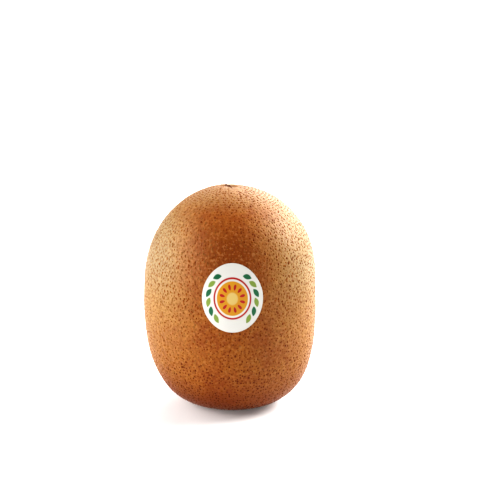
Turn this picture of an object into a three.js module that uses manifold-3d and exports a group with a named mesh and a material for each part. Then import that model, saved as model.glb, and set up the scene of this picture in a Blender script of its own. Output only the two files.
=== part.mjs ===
// A whole gold kiwifruit standing on its stem end, with a small oval label stuck on its front.
// Millimetres, +Z up, the front facing -Y. The origin lies on the ground, under the middle of the model.
// The fruit grew as one piece, so it is one solid: the body, the woody stem scar sunk in its foot
// and the dried styles at its tip. The label is a separate thin piece that follows the skin.

import * as THREE from "three";
import { mergeVertices } from "three/addons/utils/BufferGeometryUtils.js";
import Module from "manifold-3d";

// The body: how long, wide and deep the fruit is, and how high its widest ring lies.
const LENGTH = 70;
const WIDTH = 54;
const DEPTH = 51.8;
const BELLY_HEIGHT = 36.3;

// The outline over and under the widest ring is a superellipse. An ordinary ellipse has 2 and 2,
// and higher numbers give a fuller shoulder.
const TOP_FULLNESS = { across: 1.9, up: 2.5 };
const FOOT_FULLNESS = { across: 3.38, up: 2.82 };

// The fruit grew a little crooked and not quite round. A swell adds its height to the body's
// radius, most at its azimuth (in radians, from +X towards +Y).
const TRIANGULAR_SWELL = { height: 0.35, azimuth: 1.13 }; // three faint bulges with flats between
const SIDE_SWELL = { height: 0.4, azimuth: 3.1 }; // one side a little fuller than the other
const TIP_SHIFT = { across: 1.15, reach: 7 }; // the tip lies a little towards -X

// The foot: a flat ring that the fruit rests on, round a hollow with the stem scar in it.
const FOOT_RING = { inner: 5.7, outer: 7.7 };
const STEM_HOLLOW = [
  { radius: 5.35, height: 0.3 },
  { radius: 4.7, height: 1.15 },
  { radius: 4.0, height: 1.85 },
  { radius: 3.2, height: 2.1 },
  { radius: 2.65, height: 1.75 },
];
const STEM_SCAR = [
  { radius: 2.5, height: 1.2 },
  { radius: 1.7, height: 0.95 },
  { radius: 0.8, height: 1.1 },
];

// The tip: a shallow dimple with a tuft of dried styles, short stubs that spread outwards. Splay is
// in radians, sunk is how much of a stub is under the skin, and uneven is how far lengths differ.
const DIMPLE = { radius: 2.3, depth: 0.55 };
const STYLES = { count: 8, ring: 0.75, length: 1.7, splay: 0.55, sunk: 0.7, uneven: 0.2 };
const STYLE_SECTION = { sides: 5, root: 0.62, end: 0.44 };

// The label, a plain upright oval. The gap lies between it and the skin.
const LABEL = { width: 18.6, height: 21, centreHeight: 41.3, gap: 0.15, thickness: 0.4 };

// How finely the surfaces are divided.
const SIDES = 80;
const TOP_RINGS = 22;
const FOOT_RINGS = 15;
const LABEL_SPOKES = 40;
const LABEL_RINGS = 6;
const NORMAL_STEP = 0.01;
const MERGE_DISTANCE = 1e-4;

const skinColour = new THREE.Color(0.66, 0.4, 0.19);
const labelColour = new THREE.Color(0.93, 0.92, 0.88);

const wasm = await Module();
wasm.setup();

// ---- The fruit's surface ----

// The body's widest half before it is pressed oval.
const bellyRadius = WIDTH / 2;

// Cutting the resting ring takes this much off the foot's pole.
const footCut =
  BELLY_HEIGHT *
  (1 -
    Math.pow(
      1 - Math.pow(FOOT_RING.outer / bellyRadius, FOOT_FULLNESS.across),
      1 / FOOT_FULLNESS.up,
    ));
const topReach = LENGTH - BELLY_HEIGHT;
const footReach = BELLY_HEIGHT + footCut;

// The body's radius at a height over the ground.
function radiusAt(height) {
  const top = height > BELLY_HEIGHT;
  const full = top ? TOP_FULLNESS : FOOT_FULLNESS;
  const share = Math.abs(height - BELLY_HEIGHT) / (top ? topReach : footReach);
  return bellyRadius * Math.pow(Math.max(0, 1 - Math.pow(share, full.up)), 1 / full.across);
}

// A point of the round, even fruit moved to where it lies on the real one: pressed oval, swollen
// on some sides, and with its tip off the middle. Heights don't change, so the foot stays flat.
function grown(point) {
  const azimuth = Math.atan2(point.y, point.x);
  const middle = Math.sin(Math.PI * THREE.MathUtils.clamp(point.z / LENGTH, 0, 1)) ** 2;
  const swell =
    TRIANGULAR_SWELL.height * Math.cos(3 * (azimuth - TRIANGULAR_SWELL.azimuth)) +
    SIDE_SWELL.height * Math.cos(azimuth - SIDE_SWELL.azimuth);
  const scale = 1 + (swell * middle) / bellyRadius;
  const nearTip =
    point.z > BELLY_HEIGHT ? Math.exp(-((Math.hypot(point.x, point.y) / TIP_SHIFT.reach) ** 2)) : 0;
  return new THREE.Vector3(
    point.x * scale - TIP_SHIFT.across * nearTip,
    (point.y * scale * DEPTH) / WIDTH,
    point.z,
  );
}

// The skin at an azimuth and a height.
function skinPoint(azimuth, height) {
  const radius = radiusAt(height);
  return grown(
    new THREE.Vector3(radius * Math.cos(azimuth), radius * Math.sin(azimuth), height),
  );
}

// The skin's outward direction there.
function skinNormal(azimuth, height) {
  const step = NORMAL_STEP;
  const around = skinPoint(azimuth + step, height).sub(skinPoint(azimuth - step, height));
  const up = skinPoint(azimuth, height + step).sub(skinPoint(azimuth, height - step));
  return around.cross(up).normalize();
}

// ---- Meshes into solids and back ----

function solidFrom(geometry) {
  const bare = geometry.clone();
  bare.deleteAttribute("normal");
  bare.deleteAttribute("uv");
  const merged = mergeVertices(bare, MERGE_DISTANCE);
  const mesh = new wasm.Mesh({
    numProp: 3,
    vertProperties: new Float32Array(merged.attributes.position.array),
    triVerts: new Uint32Array(merged.index.array),
  });
  return new wasm.Manifold(mesh);
}

function geometryFrom(solid) {
  const mesh = solid.getMesh();
  const geometry = new THREE.BufferGeometry();
  geometry.setAttribute("position", new THREE.BufferAttribute(mesh.vertProperties, 3));
  geometry.setIndex(new THREE.BufferAttribute(mesh.triVerts, 1));
  geometry.computeVertexNormals();
  return geometry;
}

// ---- The fruit ----

// The half outline, from the middle of the stem scar round the foot and up to the tip.
function bodyOutline() {
  const points = [new THREE.Vector2(0, STEM_SCAR.at(-1).height)];
  for (const step of [...STEM_SCAR].reverse()) {
    points.push(new THREE.Vector2(step.radius, step.height));
  }
  for (const step of [...STEM_HOLLOW].reverse()) {
    points.push(new THREE.Vector2(step.radius, step.height));
  }
  points.push(new THREE.Vector2(FOOT_RING.inner, 0));
  points.push(new THREE.Vector2(FOOT_RING.outer, 0));

  const footAngle = Math.asin(
    Math.pow(FOOT_RING.outer / bellyRadius, FOOT_FULLNESS.across / 2),
  );
  for (let i = 1; i <= FOOT_RINGS; i++) {
    const angle = THREE.MathUtils.lerp(footAngle, Math.PI / 2, i / FOOT_RINGS);
    const share = Math.pow(Math.max(0, Math.cos(angle)), 2 / FOOT_FULLNESS.up);
    points.push(
      new THREE.Vector2(
        bellyRadius * Math.pow(Math.sin(angle), 2 / FOOT_FULLNESS.across),
        BELLY_HEIGHT - footReach * share,
      ),
    );
  }
  for (let i = TOP_RINGS - 1; i >= 0; i--) {
    const angle = (Math.PI / 2) * (i / TOP_RINGS);
    const radius = bellyRadius * Math.pow(Math.sin(angle), 2 / TOP_FULLNESS.across);
    const height = BELLY_HEIGHT + topReach * Math.pow(Math.cos(angle), 2 / TOP_FULLNESS.up);
    const dimple = DIMPLE.depth * Math.exp(-((radius / DIMPLE.radius) ** 2));
    points.push(new THREE.Vector2(radius, height - dimple));
  }
  return points;
}

function makeBody() {
  const geometry = new THREE.LatheGeometry(bodyOutline(), SIDES);
  geometry.rotateX(Math.PI / 2);
  const positions = geometry.attributes.position;
  const point = new THREE.Vector3();
  for (let i = 0; i < positions.count; i++) {
    point.fromBufferAttribute(positions, i);
    const moved = grown(point);
    positions.setXYZ(i, moved.x, moved.y, moved.z);
  }
  return solidFrom(geometry);
}

// One dried style: a short stub that tapers outwards from the tip.
function makeStyle(index) {
  const turn = (index / STYLES.count) * Math.PI * 2;
  const length = STYLES.length * (1 - STYLES.uneven * (1 + Math.sin(2 * turn)) * 0.5);
  const stub = new THREE.CylinderGeometry(
    STYLE_SECTION.end / 2,
    STYLE_SECTION.root / 2,
    length,
    STYLE_SECTION.sides,
  );
  stub.translate(0, length / 2 - STYLES.sunk, 0);
  stub.rotateX(Math.PI / 2);
  stub.rotateY(STYLES.splay);
  stub.translate(STYLES.ring, 0, 0);
  stub.rotateZ(turn);
  const tip = grown(new THREE.Vector3(0, 0, LENGTH - DIMPLE.depth));
  stub.translate(tip.x, tip.y, tip.z);
  return solidFrom(stub);
}

function makeFruit() {
  let solid = makeBody();
  for (let i = 0; i < STYLES.count; i++) {
    solid = solid.add(makeStyle(i));
  }
  const material = new THREE.MeshStandardMaterial({
    color: skinColour,
    roughness: 0.55,
    metalness: 0,
  });
  const mesh = new THREE.Mesh(geometryFrom(solid), material);
  mesh.name = "fruit";
  return mesh;
}

// ---- The label ----

// A point of the label, given by its place on the flat oval and how far it stands off the skin.
function labelPoint(across, up, standOff) {
  const azimuth = -Math.PI / 2 + across / bellyRadius;
  const height = LABEL.centreHeight + up;
  return skinPoint(azimuth, height).addScaledVector(skinNormal(azimuth, height), standOff);
}

// Two faces of rings and spokes, one near the skin and one outside, joined round the rim.
function makeLabel() {
  const vertices = [];
  const faces = [];
  const outer = LABEL.gap + LABEL.thickness;
  for (const standOff of [LABEL.gap, outer]) {
    vertices.push(labelPoint(0, 0, standOff));
    for (let ring = 1; ring <= LABEL_RINGS; ring++) {
      for (let spoke = 0; spoke < LABEL_SPOKES; spoke++) {
        const turn = (spoke / LABEL_SPOKES) * Math.PI * 2;
        const share = ring / LABEL_RINGS;
        const across = (LABEL.width / 2) * share * Math.cos(turn);
        const up = (LABEL.height / 2) * share * Math.sin(turn);
        vertices.push(labelPoint(across, up, standOff));
      }
    }
  }
  const side = 1 + LABEL_RINGS * LABEL_SPOKES;
  const at = (face, ring, spoke) =>
    face * side + (ring === 0 ? 0 : 1 + (ring - 1) * LABEL_SPOKES + (spoke % LABEL_SPOKES));
  for (let spoke = 0; spoke < LABEL_SPOKES; spoke++) {
    for (let ring = 0; ring < LABEL_RINGS; ring++) {
      const [a, b] = [ring, ring + 1];
      faces.push(at(0, a, spoke), at(0, b, spoke + 1), at(0, b, spoke));
      faces.push(at(1, a, spoke), at(1, b, spoke), at(1, b, spoke + 1));
      if (ring > 0) {
        faces.push(at(0, a, spoke), at(0, a, spoke + 1), at(0, b, spoke + 1));
        faces.push(at(1, a, spoke), at(1, b, spoke + 1), at(1, a, spoke + 1));
      }
    }
    const rim = LABEL_RINGS;
    faces.push(at(0, rim, spoke), at(0, rim, spoke + 1), at(1, rim, spoke + 1));
    faces.push(at(0, rim, spoke), at(1, rim, spoke + 1), at(1, rim, spoke));
  }
  const geometry = new THREE.BufferGeometry().setFromPoints(vertices);
  geometry.setIndex(faces);
  geometry.computeVertexNormals();
  const material = new THREE.MeshStandardMaterial({
    color: labelColour,
    roughness: 0.4,
    metalness: 0,
  });
  const mesh = new THREE.Mesh(geometry, material);
  mesh.name = "label";
  return mesh;
}

// ---- Both, over the middle of the ground ----

const kiwifruit = new THREE.Group();
kiwifruit.add(makeFruit(), makeLabel());
const box = new THREE.Box3().setFromObject(kiwifruit);
const middle = box.getCenter(new THREE.Vector3());
kiwifruit.position.set(-middle.x, -middle.y, -box.min.z);

export default kiwifruit;
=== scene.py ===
# A whole gold kiwifruit with a small oval label, standing on a pale floor, built round its
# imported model. Metres, +Z up. The side with the label faces -Y.

import math
import random

import bpy
from mathutils import Matrix, Vector
from mathutils.bvhtree import BVHTree


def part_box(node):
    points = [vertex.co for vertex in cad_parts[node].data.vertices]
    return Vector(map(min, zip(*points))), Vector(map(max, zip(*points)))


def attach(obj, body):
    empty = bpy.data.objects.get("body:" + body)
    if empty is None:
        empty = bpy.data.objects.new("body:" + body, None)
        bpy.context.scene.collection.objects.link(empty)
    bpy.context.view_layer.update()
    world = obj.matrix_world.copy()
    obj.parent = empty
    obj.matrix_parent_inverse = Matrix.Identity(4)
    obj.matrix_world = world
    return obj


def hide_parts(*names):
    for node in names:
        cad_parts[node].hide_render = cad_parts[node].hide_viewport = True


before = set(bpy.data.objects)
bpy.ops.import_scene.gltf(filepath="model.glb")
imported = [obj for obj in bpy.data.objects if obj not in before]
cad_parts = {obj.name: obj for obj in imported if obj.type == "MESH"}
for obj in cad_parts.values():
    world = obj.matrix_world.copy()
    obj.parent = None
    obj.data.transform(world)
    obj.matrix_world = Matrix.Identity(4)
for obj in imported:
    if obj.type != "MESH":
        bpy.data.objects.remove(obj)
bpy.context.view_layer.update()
bpy.ops.object.select_all(action="DESELECT")
print("frame loaded")


# Camera

cameraPlace = {
    "lens": 102.9,
    "sensor": 36.0,
    "pictureSize": 500,
    "target": (0.0, 0.0, 0.0345),  # this point of the fruit
    "targetPixel": (228.9, 295.6),  # is seen here, from the picture's top left
    "distance": 0.45,
    "elevation": 17.0,
}


def addCamera(place):
    focal = place["lens"] / place["sensor"] * place["pictureSize"]
    middle = place["pictureSize"] / 2
    across = math.atan2(middle - place["targetPixel"][0], focal)
    down = math.atan2(place["targetPixel"][1] - middle, focal)
    elevation = math.radians(place["elevation"])
    back = Vector((0, -math.cos(elevation), math.sin(elevation)))
    bpy.ops.object.camera_add(
        location=Vector(place["target"]) + back * place["distance"],
        rotation=(math.pi / 2 - elevation + down, 0, -across),
    )
    camera = bpy.context.object
    camera.data.lens = place["lens"]
    camera.data.sensor_width = place["sensor"]
    camera.data.sensor_fit = "HORIZONTAL"
    bpy.context.scene.camera = camera


addCamera(cameraPlace)
print("camera in place")


# Materials: small helpers

class Signal:
    # One output socket of a material's nodes. Arithmetic on it adds Math nodes.
    def __init__(self, tree, socket):
        self.tree = tree
        self.socket = socket

    def __add__(self, other):
        return combine("ADD", self, other)

    def __sub__(self, other):
        return combine("SUBTRACT", self, other)

    def __rsub__(self, other):
        return combine("SUBTRACT", other, self)

    def __mul__(self, other):
        return combine("MULTIPLY", self, other)

    def __truediv__(self, other):
        return combine("DIVIDE", self, other)

    def __rtruediv__(self, other):
        return combine("DIVIDE", other, self)

    def __pow__(self, other):
        return combine("POWER", self, other)

    def __abs__(self):
        return combine("ABSOLUTE", self)

    __radd__ = __add__
    __rmul__ = __mul__


def addNode(tree, kind, settings=None, inputs=None, output=0):
    node = tree.nodes.new(kind)
    for name, value in (settings or {}).items():
        setattr(node, name, value)
    for name, value in (inputs or {}).items():
        if isinstance(value, Signal):
            tree.links.new(value.socket, node.inputs[name])
        else:
            node.inputs[name].default_value = value
    return Signal(tree, node.outputs[output])


def combine(operation, *values):
    # A Math node on numbers and signals, of which at least one is a signal
    tree = next(value.tree for value in values if isinstance(value, Signal))
    return addNode(tree, "ShaderNodeMath", {"operation": operation}, dict(enumerate(values)))


def newMaterial(name, **constants):
    material = bpy.data.materials.new(name)
    material.use_nodes = True
    shader = material.node_tree.nodes["Principled BSDF"]
    for socket, value in constants.items():
        shader.inputs[socket.replace("_", " ")].default_value = value
    return material, material.node_tree, shader


def fade(value, low, high):
    # 0 below low, 1 above high, and smooth between them
    return addNode(
        value.tree, "ShaderNodeMapRange", {"interpolation_type": "SMOOTHSTEP"},
        {"Value": value, "From Min": low, "From Max": high},
    )


def blendColours(factor, first, second):
    # 6 and 7 are the Mix node's colour inputs, and 2 is its colour output
    return addNode(
        factor.tree, "ShaderNodeMix", {"data_type": "RGBA"},
        {0: factor, 6: first if isinstance(first, Signal) else (*first, 1),
         7: second if isinstance(second, Signal) else (*second, 1)}, 2,
    )


def objectPlace(tree):
    return addNode(tree, "ShaderNodeTexCoord", None, None, "Object")


def splitPlace(place):
    return [addNode(place.tree, "ShaderNodeSeparateXYZ", None, {0: place}, axis) for axis in "XYZ"]


def noiseAt(place, size, detail=2.0):
    # Between 0 and 1, mostly near 0.5, with lumps about as wide as size
    return addNode(place.tree, "ShaderNodeTexNoise", None,
                   {"Vector": place, "Scale": 1 / size, "Detail": detail})


# The fruit's own shape

skinShape = {
    "length": 0.0700,
    "width": 0.0540,
    "depth": 0.0518,
    "bellyHeight": 0.0363,
    "topFullness": (1.9, 2.5),  # the outline's exponents, across and up
    "footFullness": (3.38, 2.82),
    "triangularSwell": (0.00035, 1.13),  # how much, and at which azimuth
    "sideSwell": (0.0004, 3.1),
    "tipShift": (0.00115, 0.007),  # how much, and how far round the axis
    "footRing": (0.0057, 0.0077),  # the flat part's inner and outer radius
    # radius and height of points from the ring in to the middle
    "hollow": [(0.00535, 0.0003), (0.0047, 0.00115), (0.004, 0.00185), (0.0032, 0.0021),
               (0.00265, 0.00175)],
    "scar": [(0.0025, 0.0012), (0.0017, 0.00095), (0.0008, 0.0011), (0.0, 0.0011)],
    "dimple": (0.0015, 0.00024),  # radius and depth
    "sides": 352,
    "topRows": 130,
    "footRows": 100,
    "mergeDistance": 1e-7,
}

belly = skinShape["width"] / 2


def footCut():
    across, up = skinShape["footFullness"]
    share = 1 - (skinShape["footRing"][1] / belly) ** across
    return skinShape["bellyHeight"] * (1 - share ** (1 / up))


def radiusAt(height):
    # The round body's radius at a height, without the dimple and the foot's hollow
    middle = skinShape["bellyHeight"]
    if height > middle:
        across, up = skinShape["topFullness"]
        share = (height - middle) / (skinShape["length"] - middle)
    else:
        across, up = skinShape["footFullness"]
        share = (middle - height) / (middle + footCut())
    return belly * max(0.0, 1 - share ** up) ** (1 / across)


def skinOutline():
    # Radius and height from the middle of the foot round the side to the tip
    points = list(reversed(skinShape["scar"]))
    points += list(reversed(skinShape["hollow"]))
    inner, outer = skinShape["footRing"]
    points += [(inner, 0.0), ((inner + outer) / 2, 0.0), (outer, 0.0)]
    across, up = skinShape["footFullness"]
    height = skinShape["bellyHeight"]
    reach = height + footCut()
    start = math.asin((outer / belly) ** (across / 2))
    for i in range(1, skinShape["footRows"] + 1):
        angle = start + (math.pi / 2 - start) * i / skinShape["footRows"]
        share = max(0.0, math.cos(angle)) ** (2 / up)
        points.append((belly * math.sin(angle) ** (2 / across), height - reach * share))
    across, up = skinShape["topFullness"]
    reach = skinShape["length"] - height
    for i in range(skinShape["topRows"] - 1, -1, -1):
        angle = math.pi / 2 * i / skinShape["topRows"]
        radius = belly * math.sin(angle) ** (2 / across)
        wide, deep = skinShape["dimple"]
        dimple = deep * math.exp(-((radius / wide) ** 2))
        points.append((radius, height + reach * math.cos(angle) ** (2 / up) - dimple))
    return points


def grown(point):
    # A point of the round body moved to where it lies on the slightly crooked fruit
    azimuth = math.atan2(point.y, point.x)
    middle = math.sin(math.pi * min(1, max(0, point.z / skinShape["length"]))) ** 2
    swell = (
        skinShape["triangularSwell"][0] * math.cos(3 * (azimuth - skinShape["triangularSwell"][1]))
        + skinShape["sideSwell"][0] * math.cos(azimuth - skinShape["sideSwell"][1])
    )
    scale = 1 + swell * middle / belly
    across, reach = skinShape["tipShift"]
    nearTip = 0
    if point.z > skinShape["bellyHeight"]:
        nearTip = math.exp(-((math.hypot(point.x, point.y) / reach) ** 2))
    return Vector((
        point.x * scale - across * nearTip,
        point.y * scale * skinShape["depth"] / skinShape["width"],
        point.z,
    ))


# Mesh helpers

def moveVertices(piece, place):
    for vertex in piece.data.vertices:
        vertex.co = place(vertex.co)
    piece.data.update()


def spinOutline(name, points, steps):
    bpy.ops.mesh.primitive_plane_add(size=0.001, location=(points[0][0], 0, points[0][1]))
    piece = bpy.context.object
    piece.name = name
    bpy.ops.object.transform_apply(location=True)
    bpy.ops.object.mode_set(mode="EDIT")
    bpy.ops.mesh.merge(type="CENTER")
    for (radius, height), (nextRadius, nextHeight) in zip(points, points[1:]):
        step = (nextRadius - radius, 0, nextHeight - height)
        bpy.ops.mesh.extrude_region_move(TRANSFORM_OT_translate={"value": step})
    bpy.ops.mesh.select_all(action="SELECT")
    bpy.ops.mesh.spin(steps=steps, angle=2 * math.pi, center=(0, 0, 0), axis=(0, 0, 1))
    bpy.ops.mesh.select_all(action="SELECT")
    bpy.ops.mesh.remove_doubles(threshold=skinShape["mergeDistance"])
    bpy.ops.mesh.normals_make_consistent(inside=False)
    bpy.ops.object.mode_set(mode="OBJECT")
    return piece


def boxMiddle(corners):
    low, high = corners
    return (Vector(low) + Vector(high)) / 2


def meshBox(piece):
    places = [v.co for v in piece.data.vertices]
    low = Vector([min(p[i] for p in places) for i in range(3)])
    high = Vector([max(p[i] for p in places) for i in range(3)])
    return low, high


def joinPieces(pieces):
    # Copies that aren't linked yet are linked here, so that few are in the scene at a time
    bpy.ops.object.select_all(action="DESELECT")
    for piece in pieces:
        if piece.name not in bpy.context.collection.objects:
            bpy.context.collection.objects.link(piece)
        piece.select_set(True)
    bpy.context.view_layer.objects.active = pieces[0]
    if len(pieces) > 1:
        bpy.ops.object.join()
    bpy.ops.object.select_all(action="DESELECT")
    return pieces[0]


def applyModifiers(piece):
    bpy.context.view_layer.objects.active = piece
    for name in [modifier.name for modifier in piece.modifiers]:
        bpy.ops.object.modifier_apply(modifier=name)


# Skin

skinRelief = {
    "ground": 1e-6,  # points under this height stay where they are
    "flatBelow": 0.0015,  # no unevenness under this height, and all of it over the next
    "fullAbove": 0.0050,
    "swells": (0.018, 0.0006),  # width and height of the broad unevenness
    "peel": (0.0021, 0.00009),
    "tipFolds": {"count": 17, "ring": 0.0019, "reach": 0.0010, "height": 0.00009},
    "stemFolds": {"count": 19, "ring": 0.0046, "reach": 0.0007, "height": 0.00016},
    "foldDrift": [(1.6, 3), (1.0, 5)],  # uneven spacing of the folds: how much and how often
}


def folded(point, folds):
    # Small folds that run in to the middle of an end
    radius = math.hypot(point.x, point.y)
    azimuth = math.atan2(point.y, point.x)
    strength = math.exp(-(((radius - folds["ring"]) / folds["reach"]) ** 2))
    drift = sum(much * math.sin(often * azimuth) for much, often in skinRelief["foldDrift"])
    wave = math.cos(folds["count"] * azimuth + drift)
    return point + Vector((0, 0, folds["height"] * strength * wave))


def addRelief(piece, name, size, height):
    texture = bpy.data.textures.new(name, "CLOUDS")
    texture.noise_scale = size
    texture.noise_depth = 1
    relief = piece.modifiers.new(name, "DISPLACE")
    relief.texture = texture
    relief.texture_coords = "LOCAL"
    relief.strength = height
    relief.mid_level = 0.5
    relief.vertex_group = "relief"


def makeSkin():
    piece = spinOutline("skin", skinOutline(), skinShape["sides"])

    def shaped(point):
        if point.z < skinRelief["ground"]:
            return grown(point)
        high = point.z > skinShape["bellyHeight"]
        return grown(folded(point, skinRelief["tipFolds" if high else "stemFolds"]))

    moveVertices(piece, shaped)
    offset = boxMiddle(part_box("fruit")) - boxMiddle(meshBox(piece))
    offset.z = 0
    moveVertices(piece, lambda point: point + offset)
    uneven = piece.vertex_groups.new(name="relief")
    low, high = skinRelief["flatBelow"], skinRelief["fullAbove"]
    for vertex in piece.data.vertices:
        share = min(1, max(0, (vertex.co.z - low) / (high - low)))
        uneven.add([vertex.index], share, "REPLACE")
    addRelief(piece, "swells", *skinRelief["swells"])
    addRelief(piece, "peel", *skinRelief["peel"])
    applyModifiers(piece)
    bpy.ops.object.shade_smooth()
    return piece, offset


skin, axisPlace = makeSkin()
skinFinder = BVHTree.FromObject(skin, bpy.context.evaluated_depsgraph_get())
print("skin", len(skin.data.polygons), "faces, axis at", tuple(axisPlace))

skinLook = {
    "golden": (0.303, 0.117, 0.0173),
    "brown": (0.242, 0.0715, 0.0096),
    # painted sheen on the flanks
    "paintedSheenTan": (0.288, 0.184, 0.069),
    # painted shade at the foot
    "foot": (0.182, 0.0415, 0.0048),
    # painted shade on the back and the right
    "paintedBackShade": (0.155, 0.072, 0.025),
    # painted sheen on the upper rims and round the tip
    "shoulder": (0.268, 0.202, 0.115),
    # painted shade on the front
    "paintedShade": (0.202, 0.057, 0.0096),
    "fleck": (0.180, 0.056, 0.010),
    # painted glints
    "paintedGlint": (0.43, 0.24, 0.103),
    # width of the lumps and how many finer layers they have
    "patches": (0.014, 3),
    "mottle": (0.0024, 3),
    "grain": (0.0008, 1),
    "toneMix": (0.5, 0.4, 0.1),  # of patches, mottle and grain
    "toneEdges": (0.38, 0.62),
    "freckles": (0.00095, 0.00025, 0.00013),  # spacing, radius, softness of the edge
    "freckleShare": 0.5,
    # a tone's edges in metres, how far they wander, and how much of the tone there is
    "flankArea": {"edges": (0.002, 0.0245), "wander": 0.008},  # from the middle to the sides
    "flankHeights": {"edges": (0.010, 0.052), "low": 0.30, "more": 0.68},  # more higher up; the tan on the flanks is painted sheen
    "shoulderArea": {"edges": (0.034, 0.050), "share": 0.85, "narrow": 4},  # the flanks' outside, painted sheen on the upper rims
    # painted sheen round the tip
    "paintedTipSheenArea": {"edges": (0.0630, 0.0695), "wander": 0.004, "share": 0.5},
    "paintedBackShadeArea": {"edges": (0.0, 0.021), "wander": 0.010, "share": 0.85, "turn": 0.1},  # to +X; painted shade on the back and the right, under the strongest lamps
    # painted shade towards the foot, near the floor
    "footArea": {"edges": (0.002, 0.020), "wander": 0.010, "share": 0.85},
    # painted shade: a deeper tone round one place on the front
    "paintedShadePlace": (0.001, -0.025, 0.053),
    "paintedShadeFull": 0.003,
    "paintedShadeReach": 0.017,
    "paintedShadeShare": 0.75,
    # dark pores and pale stipple, from the low and the high parts of the grain. The pale stipple is
    # painted glints, with more of them in the painted shade on the front.
    "poreEdges": (0.36, 0.50),
    "poreShare": 0.30,
    "paintedGlintEdges": (0.52, 0.68),
    "paintedGlintShare": {"everywhere": 0.20, "paintedShade": 0.18, "back": -0.12},
    "roughness": 0.52,
    "gloss": 0.30,
    "down": 0.12,  # the pale bloom of very fine hairs
    "downSoftness": 0.30,
    "relief": 0.00010,
    "reliefMix": (0.8, 0.6, -0.5),  # of grain, mottle and freckles
}


def freckles(place, spacing, size, soften):
    # Soft spots of uneven size at random places, about one in each cube of the spacing
    cells = addNode(place.tree, "ShaderNodeTexVoronoi", {"feature": "F1"},
                    {"Vector": place, "Scale": 1 / spacing})
    return 1 - fade(cells, (size - soften) / spacing, (size + soften) / spacing)


def skinMaterial(look):
    material, tree, shader = newMaterial(
        "goldenSkin", Roughness=look["roughness"], Specular_IOR_Level=look["gloss"],
        Sheen_Weight=look["down"], Sheen_Roughness=look["downSoftness"],
    )
    place = objectPlace(tree)
    across, deep, height = splitPlace(place)
    patches = noiseAt(place, *look["patches"])
    mottle = noiseAt(place, *look["mottle"])
    grain = noiseAt(place, *look["grain"])

    def inArea(value, area):
        # 0 before an area's first edge and 1 past its last one. The edges wander with the patches.
        return fade(value + (patches - 0.5) * area["wander"], *area["edges"])

    broad, middling, fine = look["toneMix"]
    tone = patches * broad + mottle * middling + grain * fine
    colour = blendColours(fade(tone, *look["toneEdges"]), look["brown"], look["golden"])
    # Painted shade: a darker tone round one place on the front.
    away = addNode(tree, "ShaderNodeVectorMath", {"operation": "DISTANCE"},
                   {0: place, 1: look["paintedShadePlace"]}, 1)
    paintedShade = 1 - fade(away, look["paintedShadeFull"], look["paintedShadeReach"])
    colour = blendColours(paintedShade * look["paintedShadeShare"], colour, look["paintedShade"])

    flank = inArea(abs(across), look["flankArea"])
    # Painted sheen: paler on the upper rims and round the tip.
    area = look["shoulderArea"]
    shoulder = flank ** area["narrow"] * fade(height, *area["edges"]) * area["share"]
    paintedTipSheen = inArea(height, look["paintedTipSheenArea"]) * look["paintedTipSheenArea"]["share"]
    # Painted sheen: the flanks turn tan, more so higher up.
    area = look["flankHeights"]
    colour = blendColours(flank * (fade(height, *area["edges"]) * area["more"] + area["low"]),
                          colour, look["paintedSheenTan"])
    colour = blendColours(combine("MAXIMUM", shoulder, paintedTipSheen), colour, look["shoulder"])
    # Painted shade: darker and browner towards the back and the right.
    back = inArea(deep + across * look["paintedBackShadeArea"]["turn"], look["paintedBackShadeArea"])
    colour = blendColours(back * look["paintedBackShadeArea"]["share"], colour, look["paintedBackShade"])

    spots = freckles(place, *look["freckles"])
    colour = blendColours(spots * look["freckleShare"], colour, look["fleck"])
    pores = 1 - fade(grain, *look["poreEdges"])
    colour = blendColours(pores * look["poreShare"], colour, look["fleck"])
    # Pale stipple: painted glints, more of them in the painted shade and fewer on the back.
    share = look["paintedGlintShare"]
    paintedGlints = paintedShade * share["paintedShade"] + back * share["back"] + share["everywhere"]
    colour = blendColours(fade(grain, *look["paintedGlintEdges"]) * paintedGlints, colour, look["paintedGlint"])
    # Painted shade: darker towards the foot, near the floor.
    foot = 1 - inArea(height, look["footArea"])
    colour = blendColours(foot * look["footArea"]["share"], colour, look["foot"])
    tree.links.new(colour.socket, shader.inputs["Base Color"])

    fine, middling, spotted = look["reliefMix"]
    bumps = grain * fine + mottle * middling + spots * spotted
    bump = addNode(tree, "ShaderNodeBump", None,
                   {"Height": bumps, "Distance": look["relief"], "Strength": 1.0})
    tree.links.new(bump.socket, shader.inputs["Normal"])
    return material


skin.data.materials.append(skinMaterial(skinLook))
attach(skin, "root")
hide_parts("fruit")


# Raised specks all over the skin

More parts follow.
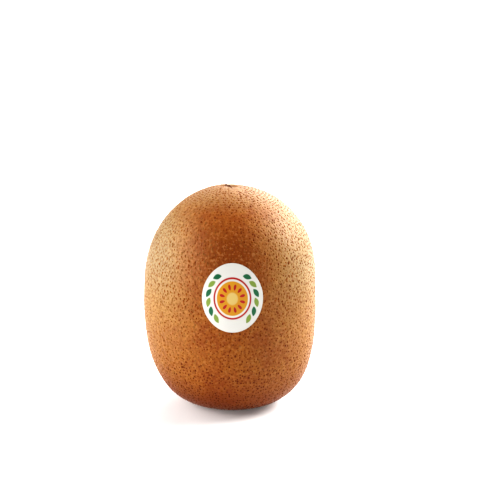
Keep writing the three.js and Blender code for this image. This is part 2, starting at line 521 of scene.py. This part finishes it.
specks = {
    "spacing": 0.00104,
    "uneven": 0.42,  # how far a speck strays, as a share of the spacing
    "fewest": 3,  # in one row
    "lowest": 0.00016,
    "bareTip": (0.0028, 0.0060),  # none nearer to the tip than the first, all beyond the second
    "seed": 7,
    "lot": 100,  # how many are joined at a time
    "lowReach": 0.024,
    "flankAtFoot": 0.5,  # how much of the flanks' mix there is at the foot's height
    # share is how many are of a kind in each part of the skin
    "kinds": {
        "specksMaroon": {
            "share": {"right": 0.03, "back": 0.1, "low": 0.6},
            "size": (0.00020, 0.00036), "colour": (0.126, 0.031, 0.0055),
        },
        "specksDeep": {
            "share": {"front": 0.12, "flank": 0.02, "right": 0.16, "back": 0.3, "low": 0.2,
                      "paintedShade": -0.12},
            "size": (0.00022, 0.00036), "colour": (0.154, 0.044, 0.0068),
        },
        "specksRed": {
            "share": {"front": 0.36, "flank": 0.03, "right": 0.05, "back": 0.3, "paintedShade": -0.3},
            "size": (0.00020, 0.00034), "colour": (0.192, 0.057, 0.0088),
        },
        "specksGolden": {
            "share": {"front": 0.50, "flank": 0.05, "right": -0.10, "low": -0.5},
            "size": (0.00017, 0.00032), "colour": (0.221, 0.073, 0.0112),
        },
        "specksUmber": {
            "share": {"flank": 0.38, "right": 0.12, "back": -0.1, "low": -0.2},
            "size": (0.00020, 0.00034), "colour": (0.200, 0.080, 0.0205),
        },
        "specksTan": {
            "share": {"flank": 0.52, "right": -0.20, "back": -0.3, "low": -0.4},
            "size": (0.00017, 0.00032), "colour": (0.240, 0.115, 0.0365),
        },
    },
    "longest": (1.5, 1.9),  # for the lower and the upper half
    "turn": 0.5,  # radians, to either side
    "height": 0.00009,
    "sunk": 0.4,  # as a share of the height
    "roughness": 0.6,
    "gloss": 0.12,
}

labelShape = {"width": 0.0186, "height": 0.0210, "centreHeight": 0.0413, "margin": 0.0002}


def underLabel(azimuth, height):
    across = (azimuth + math.pi / 2) * belly / (labelShape["width"] / 2 - labelShape["margin"])
    up = (height - labelShape["centreHeight"]) / (labelShape["height"] / 2 - labelShape["margin"])
    return across ** 2 + up ** 2 < 1


# Specks are paler on the flanks, darker towards the foot, the back and the right, and few dark ones
# lie in the painted shade on the front: they follow the skin's painted sheen and painted shade.
def speckKind(draw, place):
    upwards = specks["flankAtFoot"] + place.z / skinShape["length"]
    flank = min(1, abs(place.x) / belly * upwards)
    shaded = (place - Vector(skinLook["paintedShadePlace"])).length / skinLook["paintedShadeReach"]
    parts = {
        "front": 1 - flank,
        "flank": flank,
        "right": place.x / belly,
        "back": max(0, place.y / belly),
        "low": max(0, 1 - place.z / specks["lowReach"]),
        "paintedShade": max(0, 1 - shaded),
    }
    kinds = specks["kinds"]
    weights = []
    for kind in kinds.values():
        weights.append(max(0, sum(share * parts[part] for part, share in kind["share"].items())))
    return draw.choices(list(kinds), weights)[0]


def speckRows(spacing):
    # Radius and height at even steps along the outline, from the foot ring to the tip
    outer = skinShape["footRing"][1]
    outline = skinOutline()
    outline = outline[outline.index((outer, 0.0)):]
    walked = 0.0
    nextStop = spacing / 2
    for (radius, height), (nextRadius, nextHeight) in zip(outline, outline[1:]):
        length = math.hypot(nextRadius - radius, nextHeight - height)
        while walked + length > nextStop:
            share = (nextStop - walked) / length
            yield radius + (nextRadius - radius) * share, height + (nextHeight - height) * share
            nextStop += spacing
        walked += length


def speckCopy(first, place, draw, kind):
    # One speck laid on the skin near a place, longer towards the fruit's ends
    spot, normal = skinFinder.find_nearest(place)[:2]
    if spot.z < specks["lowest"]:
        return None
    size = draw.uniform(*specks["kinds"][kind]["size"])
    longer = draw.uniform(1, specks["longest"][spot.z > skinShape["bellyHeight"]])
    across = Vector((0, 0, 1)).cross(normal).normalized()
    across.rotate(Matrix.Rotation(draw.uniform(-specks["turn"], specks["turn"]), 3, normal))
    along = normal.cross(across)
    rise = specks["height"]
    axes = Matrix((across * size, along * size * longer, normal * rise)).transposed()
    copy = first.copy()
    copy.data = first.data.copy()
    copy.data.transform(Matrix.Translation(spot - normal * rise * specks["sunk"]) @ axes.to_4x4())
    return copy


def makeSpecks():
    draw = random.Random(specks["seed"])
    bpy.ops.mesh.primitive_ico_sphere_add(subdivisions=1, radius=1)
    first = bpy.context.object
    bpy.ops.object.shade_smooth()
    waiting = {kind: [] for kind in specks["kinds"]}
    joined = {kind: [] for kind in specks["kinds"]}

    def gather(kind):
        # Joined in small lots, and kept out of the scene until the last join
        lot = joinPieces(waiting[kind])
        bpy.context.collection.objects.unlink(lot)
        joined[kind].append(lot)
        waiting[kind] = []

    stray = specks["spacing"] * specks["uneven"]
    for radius, height in speckRows(specks["spacing"]):
        count = max(specks["fewest"], round(2 * math.pi * radius / specks["spacing"]))
        turn = draw.random()
        for i in range(count):
            azimuth = 2 * math.pi * (i + turn) / count - math.pi
            azimuth += draw.uniform(-stray, stray) / max(radius, stray)
            level = height + draw.uniform(-stray, stray)
            place = Vector((radius * math.cos(azimuth), radius * math.sin(azimuth), level))
            kind = speckKind(draw, place)
            copy = speckCopy(first, grown(place) + axisPlace, draw, kind)
            bare = level > skinShape["bellyHeight"] and radius < draw.uniform(*specks["bareTip"])
            if copy and not bare and not underLabel(azimuth, level):
                waiting[kind].append(copy)
                if len(waiting[kind]) == specks["lot"]:
                    gather(kind)
    bpy.data.objects.remove(first)
    for kind, settings in specks["kinds"].items():
        if waiting[kind]:
            gather(kind)
        piece = joinPieces(joined[kind])
        piece.name = kind
        material = newMaterial(
            kind, Base_Color=(*settings["colour"], 1), Roughness=specks["roughness"],
            Specular_IOR_Level=specks["gloss"],
        )[0]
        piece.data.materials.append(material)
        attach(piece, "root")
        print(kind, len(piece.data.polygons), "faces")


makeSpecks()


# Dried styles, the remains of the flower at the tip

styles = {
    # azimuth, distance of the root from the middle, length, lean from upright, droop, twist
    "strands": [
        (2.70, 0.00010, 0.0024, 0.62, 0.40, 0.30),
        (2.20, 0.00045, 0.0012, 0.70, 0.50, -0.40),
        (-1.15, 0.00030, 0.0036, 1.22, 0.46, -0.15),
        (-0.60, 0.00035, 0.0009, 0.75, 0.80, 0.50),
        (0.40, 0.00030, 0.0009, 0.65, 0.60, 0.20),
        (1.30, 0.00055, 0.0009, 0.75, 0.70, -0.60),
        (3.60, 0.00060, 0.0011, 0.80, 0.90, -0.20),
        (4.40, 0.00035, 0.0007, 0.30, 0.30, 0.40),
    ],
    "root": 0.00013,
    "end": 0.00007,
    "sides": 6,
    "rows": 8,
    "sunk": 0.00035,
    "sway": 0.4,  # how far a twist of 1 moves the end aside, as a share of the length
    "clearance": 0.01,  # the skin under a root is looked for from this far above the tip
    "colour": (0.095, 0.016, 0.010, 1),
    "roughness": 0.75,
    "gloss": 0.15,
}


def makeStyles():
    bpy.ops.mesh.primitive_circle_add(
        vertices=styles["sides"], radius=styles["root"], fill_type="NGON",
    )
    first = bpy.context.object
    bpy.ops.object.mode_set(mode="EDIT")
    bpy.ops.mesh.select_all(action="SELECT")
    bpy.ops.mesh.extrude_region_move(TRANSFORM_OT_translate={"value": (0, 0, 0)})
    shrink = (styles["end"] / styles["root"]) ** (1 / styles["rows"])
    for row in range(styles["rows"]):
        if row:
            bpy.ops.mesh.extrude_region_move()
        bpy.ops.transform.translate(value=(0, 0, 1 / styles["rows"]))
        end = (0, 0, (row + 1) / styles["rows"])
        bpy.ops.transform.resize(value=(shrink, shrink, 1), center_override=end)
    bpy.ops.mesh.select_all(action="SELECT")
    bpy.ops.mesh.normals_make_consistent(inside=False)
    bpy.ops.object.mode_set(mode="OBJECT")
    bpy.ops.object.shade_smooth()
    middle = grown(Vector((0, 0, skinShape["length"]))) + axisPlace
    copies = []
    for azimuth, ring, length, lean, droop, twist in styles["strands"]:
        outwards = Vector((math.cos(azimuth), math.sin(azimuth), 0))
        sideways = Vector((-outwards.y, outwards.x, 0))
        above = middle + outwards * ring + Vector((0, 0, styles["clearance"]))
        root = skinFinder.ray_cast(above, Vector((0, 0, -1)))[0]

        def bent(point):
            tilt = lean + droop * point.z ** 2
            along = outwards * math.sin(tilt) + Vector((0, 0, math.cos(tilt)))
            across = outwards * math.cos(tilt) - Vector((0, 0, math.sin(tilt)))
            reach = point.z * length
            side = sideways * (point.y + twist * length * styles["sway"] * point.z ** 2)
            return root - along * styles["sunk"] + along * reach + across * point.x + side

        copy = first.copy()
        copy.data = first.data.copy()
        moveVertices(copy, bent)
        copies.append(copy)
    bpy.data.objects.remove(first)
    piece = joinPieces(copies)
    piece.name = "dryStyles"
    material = newMaterial(
        "driedStyles", Base_Color=styles["colour"], Roughness=styles["roughness"],
        Specular_IOR_Level=styles["gloss"],
    )[0]
    piece.data.materials.append(material)
    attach(piece, "root")
    print("dryStyles", len(piece.data.polygons), "faces")


makeStyles()


# Stem scar, the woody button in the foot's hollow with dry scales round it

scar = {
    "radius": 0.0024,
    "top": 0.0016,  # sunk in the skin
    "face": 0.0006,
    "sides": 48,
    # a step in from the last ring, and a step into the fruit or out of it
    "rings": [(0.00030, -0.00012), (0.00045, 0.00022), (0.00050, -0.00010), (0.00045, 0.00016)],
    "rounding": 2,
    "seed": 5,
    # Fine ridges that run out to the rim, from a few waves. The first has as many crests round
    # the button as first says, and each next one has step more.
    "fibres": {"waves": 5, "first": 5, "step": 4, "height": 0.00003, "start": 6.28},
    "smoothUnder": 50,  # degrees
    "wood": (0.210, 0.115, 0.055),
    "dark": (0.070, 0.033, 0.016),
    "grain": (0.0003, 3),
    "grainEdges": (0.35, 0.65),
    "roughness": 0.85,
    "gloss": 0.2,
    "scales": {
        "count": 9,
        "stray": 0.25,  # as a share of the space from one to the next
        "faces": (6, 5),  # along and across
        "length": (0.0014, 0.0021),
        "width": 0.0011,
        "taper": (0.45, 1.2),
        "root": 0.85,  # as a share of the button's radius
        "rootHeight": 0.0010,
        "arch": (0.00085, 2.6),  # how much, and the angle it takes up
        "droop": 0.0003,
        "curl": (0.2, 0.9),  # as a share of the droop
        "cup": 0.00025,  # how much lower the sides lie than the middle
        "thickness": 0.00012,
        "mergeDistance": 1e-6,
    },
}


def makeButton():
    middle = (scar["top"] + scar["face"]) / 2
    bpy.ops.mesh.primitive_cylinder_add(
        vertices=scar["sides"], radius=scar["radius"], depth=scar["top"] - scar["face"],
        location=(0, 0, middle),
    )
    piece = bpy.context.object
    bpy.ops.object.transform_apply(location=True)
    bpy.ops.object.mode_set(mode="EDIT")
    bpy.ops.mesh.select_mode(type="FACE")
    bpy.ops.mesh.select_all(action="DESELECT")
    bpy.ops.object.mode_set(mode="OBJECT")
    for face in piece.data.polygons:
        face.select = face.normal.z < -0.9  # only the lower end
    bpy.ops.object.mode_set(mode="EDIT")
    for step, rise in scar["rings"]:
        bpy.ops.mesh.inset(thickness=step)
        bpy.ops.transform.translate(value=(0, 0, rise))
    bpy.ops.mesh.poke()
    bpy.ops.object.mode_set(mode="OBJECT")
    smooth = piece.modifiers.new("smooth", "SUBSURF")
    smooth.levels = smooth.render_levels = scar["rounding"]
    applyModifiers(piece)
    draw = random.Random(scar["seed"])
    fibres = scar["fibres"]
    phases = [draw.uniform(0, fibres["start"]) for i in range(fibres["waves"])]

    def fibrous(point):
        azimuth = math.atan2(point.y, point.x)
        out = math.hypot(point.x, point.y) / scar["radius"]
        ridge = 0
        for i, phase in enumerate(phases):
            ridge += math.sin((fibres["first"] + fibres["step"] * i) * azimuth + phase)
        return point + Vector((0, 0, fibres["height"] * ridge * out))

    moveVertices(piece, fibrous)
    return piece


def makeScale(draw, azimuth):
    # A dry pointed scale that lies against the hollow's wall
    scales = scar["scales"]
    lengthwise, crosswise = scales["faces"]
    bpy.ops.mesh.primitive_grid_add(x_subdivisions=lengthwise, y_subdivisions=crosswise, size=1)
    piece = bpy.context.object
    length = draw.uniform(*scales["length"])
    curl = draw.uniform(*scales["curl"])
    outwards = Vector((math.cos(azimuth), math.sin(azimuth), 0))
    aside = Vector((-outwards.y, outwards.x, 0))

    def shaped(point):
        along = point.x + 0.5
        narrower, bend = scales["taper"]
        taper = 1 - narrower + narrower * math.cos(along * bend)
        width = scales["width"] * (1 - along ** 2) ** 0.5 * taper
        root = scar["radius"] * scales["root"]
        rise, bend = scales["arch"]
        height = scales["rootHeight"] + rise * math.sin(along * bend)
        height -= scales["droop"] * curl * along ** 2 + scales["cup"] * (2 * point.y) ** 2
        return outwards * (root + along * length) + aside * point.y * width + Vector((0, 0, height))

    moveVertices(piece, shaped)
    bpy.ops.object.mode_set(mode="EDIT")
    bpy.ops.mesh.select_all(action="SELECT")
    bpy.ops.mesh.remove_doubles(threshold=scales["mergeDistance"])
    bpy.ops.object.mode_set(mode="OBJECT")
    wall = piece.modifiers.new("wall", "SOLIDIFY")
    wall.thickness = scales["thickness"]
    wall.offset = 0
    applyModifiers(piece)
    return piece


def makeScar():
    draw = random.Random(scar["seed"])
    pieces = [makeButton()]
    scales = scar["scales"]
    for i in range(scales["count"]):
        stray = draw.uniform(-scales["stray"], scales["stray"])
        pieces.append(makeScale(draw, 2 * math.pi * (i + stray) / scales["count"]))
    piece = joinPieces(pieces)
    piece.name = "stemScar"
    moveVertices(piece, lambda point: grown(point) + axisPlace)
    bpy.context.view_layer.objects.active = piece
    piece.select_set(True)
    bpy.ops.object.shade_smooth_by_angle(angle=math.radians(scar["smoothUnder"]))
    piece.select_set(False)
    material, tree, shader = newMaterial(
        "scarWood", Roughness=scar["roughness"], Specular_IOR_Level=scar["gloss"],
    )
    grain = noiseAt(objectPlace(tree), *scar["grain"])
    colour = blendColours(fade(grain, *scar["grainEdges"]), scar["dark"], scar["wood"])
    tree.links.new(colour.socket, shader.inputs["Base Color"])
    piece.data.materials.append(material)
    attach(piece, "root")
    print("stemScar", len(piece.data.polygons), "faces")


makeScar()


# Label

labelLook = {
    "rings": 14,
    "spokes": 96,
    "lift": 0.00005,
    "thickness": 0.00014,
    "smoothUnder": 40,  # degrees
    "roughness": 0.38,
    "gloss": 0.4,
    "white": (0.545, 0.535, 0.505),
    "gold": (0.47, 0.245, 0.020),
    "paleGold": (0.50, 0.38, 0.15),
    "red": (0.34, 0.020, 0.018),
    "darkGreen": (0.020, 0.130, 0.060),
    "lightGreen": (0.200, 0.270, 0.062),
    # Lengths from here on are shares of the way from the middle to the edge, except that a seed's
    # softness is a share of its own size. Angles are radians.
    "pulp": {"reach": 0.50, "soft": 0.012},
    "core": {"reach": 0.18, "soft": 0.03},
    "seeds": {"count": 12, "at": 0.335, "length": 0.085, "width": 0.040, "soft": 0.15},
    "ring": {"at": 0.585, "width": 0.026, "soft": 0.012},
    "leaves": {"count": 18, "at": 0.79, "length": 0.150, "width": 0.072, "tilt": 0.42,
               "first": 0.50, "aSide": 6, "soft": 0.010},
}


def makeLabel():
    bpy.ops.mesh.primitive_circle_add(vertices=labelLook["spokes"], radius=1, fill_type="NOTHING")
    piece = bpy.context.object
    piece.name = "labelFilm"
    bpy.ops.object.mode_set(mode="EDIT")
    bpy.ops.mesh.select_all(action="SELECT")
    for ring in range(labelLook["rings"], 1, -1):
        bpy.ops.mesh.extrude_edges_move()
        shrink = (ring - 1) / ring
        bpy.ops.transform.resize(value=(shrink, shrink, 1), center_override=(0, 0, 0))
    bpy.ops.mesh.extrude_edges_move()
    bpy.ops.mesh.merge(type="CENTER")
    bpy.ops.mesh.select_all(action="SELECT")
    bpy.ops.mesh.normals_make_consistent(inside=False)
    bpy.ops.object.mode_set(mode="OBJECT")
    printPlace = piece.data.uv_layers.new(name="print")
    for loop in piece.data.loops:
        place = piece.data.vertices[loop.vertex_index].co
        printPlace.data[loop.index].uv = (place.x, place.y)

    def onSkin(point):
        azimuth = point.x * labelShape["width"] / 2 / belly - math.pi / 2
        height = labelShape["centreHeight"] + point.y * labelShape["height"] / 2
        radius = radiusAt(height)
        place = Vector((radius * math.cos(azimuth), radius * math.sin(azimuth), height))
        return grown(place) + axisPlace

    moveVertices(piece, onSkin)
    wrap = piece.modifiers.new("wrap", "SHRINKWRAP")
    wrap.target = skin
    wrap.wrap_method = "NEAREST_SURFACEPOINT"
    wrap.wrap_mode = "OUTSIDE_SURFACE"
    wrap.offset = labelLook["lift"]
    film = piece.modifiers.new("film", "SOLIDIFY")
    film.thickness = labelLook["thickness"]
    film.offset = 1
    applyModifiers(piece)
    bpy.ops.object.shade_smooth_by_angle(angle=math.radians(labelLook["smoothUnder"]))
    return piece


label = makeLabel()


def within(distance, reach, soft):
    return 1 - fade(distance, reach - soft, reach + soft)


def labelMaterial(look):
    # A plain design of rings, seeds and leaves, alike on its left and its right
    material, tree, shader = newMaterial(
        "labelPrint", Roughness=look["roughness"], Specular_IOR_Level=look["gloss"],
    )
    place = addNode(tree, "ShaderNodeUVMap", {"uv_map": "print"})
    sides, up = splitPlace(place)[:2]
    across = abs(sides)
    out = (across * across + up * up) ** 0.5
    angle = combine("ARCTAN2", across, up)  # from the top round to the bottom

    def repeat(count, start, at):
        # How far along its own stretch of a circle a point is, and which stretch it is in
        stretch = math.pi * 2 / count
        turns = (angle - start) / stretch
        return (combine("FRACT", turns) - 0.5) * (stretch * at), combine("FLOOR", turns)

    pulp = within(out, look["pulp"]["reach"], look["pulp"]["soft"])
    colour = blendColours(pulp, look["white"], look["gold"])
    core = within(out, look["core"]["reach"], look["core"]["soft"])
    colour = blendColours(core, colour, look["paleGold"])
    seeds = look["seeds"]
    aside = repeat(seeds["count"], 0, seeds["at"])[0]
    seed = ((aside / seeds["width"]) ** 2 + ((out - seeds["at"]) / seeds["length"]) ** 2) ** 0.5
    colour = blendColours(within(seed, 1, seeds["soft"]), colour, look["red"])
    ring = within(abs(out - look["ring"]["at"]), look["ring"]["width"], look["ring"]["soft"])
    colour = blendColours(ring, colour, look["red"])
    leaves = look["leaves"]
    around, number = repeat(leaves["count"], leaves["first"], leaves["at"])
    outwards = out - leaves["at"]
    along = around * math.cos(leaves["tilt"]) + outwards * math.sin(leaves["tilt"])
    aside = outwards * math.cos(leaves["tilt"]) - around * math.sin(leaves["tilt"])
    leaf = abs(aside) + (along / leaves["length"]) ** 2 * leaves["width"]
    second = combine("FRACT", number * 0.5) * 2  # 1 for every other leaf, 0 for the rest
    green = blendColours(second, look["darkGreen"], look["lightGreen"])
    # The leaves are numbered from 0, so both ends of the wreath lie half-way between two of them
    last = leaves["aSide"] - 1
    wreath = fade(number, -0.6, -0.4) * (1 - fade(number, last + 0.4, last + 0.6))
    leaf = within(leaf, leaves["width"], leaves["soft"])
    colour = blendColours(leaf * wreath, colour, green)
    tree.links.new(colour.socket, shader.inputs["Base Color"])
    return material


label.data.materials.append(labelMaterial(labelLook))
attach(label, "root")
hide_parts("label")
print("label", len(label.data.polygons), "faces")


# Floor

floorLook = {
    "radius": 6.0,
    "sides": 96,
    "colour": (0.74, 0.74, 0.74, 1),
    "roughness": 0.7,
    "glow": 0.85,  # keeps the far floor as pale as the near floor
    "nearShare": 0.115,  # of the glow, near the fruit; painted light that lightens the fruit's contact shadow
    "glowGrows": (0.12, 0.8),  # from the share near the fruit to all of it, between these radii
}

bpy.ops.mesh.primitive_circle_add(
    vertices=floorLook["sides"], radius=floorLook["radius"], fill_type="NGON",
)
floor = bpy.context.object
floor.name = "floor"
material, tree, shader = newMaterial(
    "palePaper", Base_Color=floorLook["colour"], Roughness=floorLook["roughness"],
    Emission_Strength=floorLook["glow"],
)
away = addNode(tree, "ShaderNodeVectorMath", {"operation": "LENGTH"}, {0: objectPlace(tree)}, 1)
near = (floorLook["nearShare"],) * 3
glow = blendColours(fade(away, *floorLook["glowGrows"]), near, (1, 1, 1))
tree.links.new(glow.socket, shader.inputs["Emission Color"])
floor.data.materials.append(material)


# Lights

lighting = {
    "target": (0, 0, 0.035),
    "world": 0.02,
    # An azimuth of 0 is the camera's side, and it grows to the right
    "softboxes": {
        "leftBox": {"azimuth": -83, "elevation": 19, "distance": 0.6, "size": (0.42, 0.5),
                    "power": 1.97},
        "leftFrontBox": {"azimuth": -65, "elevation": 18, "distance": 0.6, "size": (0.4, 0.5),
                         "power": 2.2},
        "leftBackBox": {"azimuth": -112, "elevation": 30, "distance": 0.6, "size": (0.3, 0.5),
                        "power": 1.15},
        "leftRearBox": {"azimuth": -145, "elevation": 30, "distance": 0.6, "size": (0.3, 0.4),
                        "power": 0.15},
        "rightBox": {"azimuth": 110, "elevation": 35, "distance": 0.6, "size": (0.5, 0.4),
                     "power": 6.8},
        "rightHighBox": {"azimuth": 130, "elevation": 55, "distance": 0.6, "size": (0.4, 0.4),
                         "power": 0.4},
        "rightBackBox": {"azimuth": 155, "elevation": 22, "distance": 0.6, "size": (0.3, 0.4),
                         "power": 1.7},
        "backBox": {"azimuth": 180, "elevation": 35, "distance": 0.7, "size": (0.5, 0.3),
                    "power": 0.9},
        "topBox": {"azimuth": 0, "elevation": 88, "distance": 0.7, "size": (0.5, 0.5),
                   "power": 0.5},
        "lowBox": {"azimuth": 30, "elevation": 4, "distance": 0.8, "size": (0.6, 0.1),
                   "power": 0.5},
    },
}


def softbox(name, azimuth, elevation, distance, size, power):
    bpy.ops.object.light_add(type="AREA")
    light = bpy.context.object
    light.name = name
    light.data.shape = "RECTANGLE"
    light.data.size, light.data.size_y = size
    light.data.energy = power
    across, up = math.radians(azimuth), math.radians(elevation)
    away = Vector((math.sin(across) * math.cos(up), -math.cos(across) * math.cos(up), math.sin(up)))
    light.location = Vector(lighting["target"]) + away * distance
    light.rotation_euler = away.to_track_quat("Z", "Y").to_euler()


for name, settings in lighting["softboxes"].items():
    softbox(name, **settings)

world = bpy.data.worlds.new("studio")
bpy.context.scene.world = world
world.use_nodes = True
background = world.node_tree.nodes["Background"]
background.inputs["Color"].default_value = (1, 1, 1, 1)
background.inputs["Strength"].default_value = lighting["world"]
bpy.context.scene.view_settings.view_transform = "Standard"
bpy.context.scene.view_settings.look = "Very High Contrast"
print("lights and floor in place")
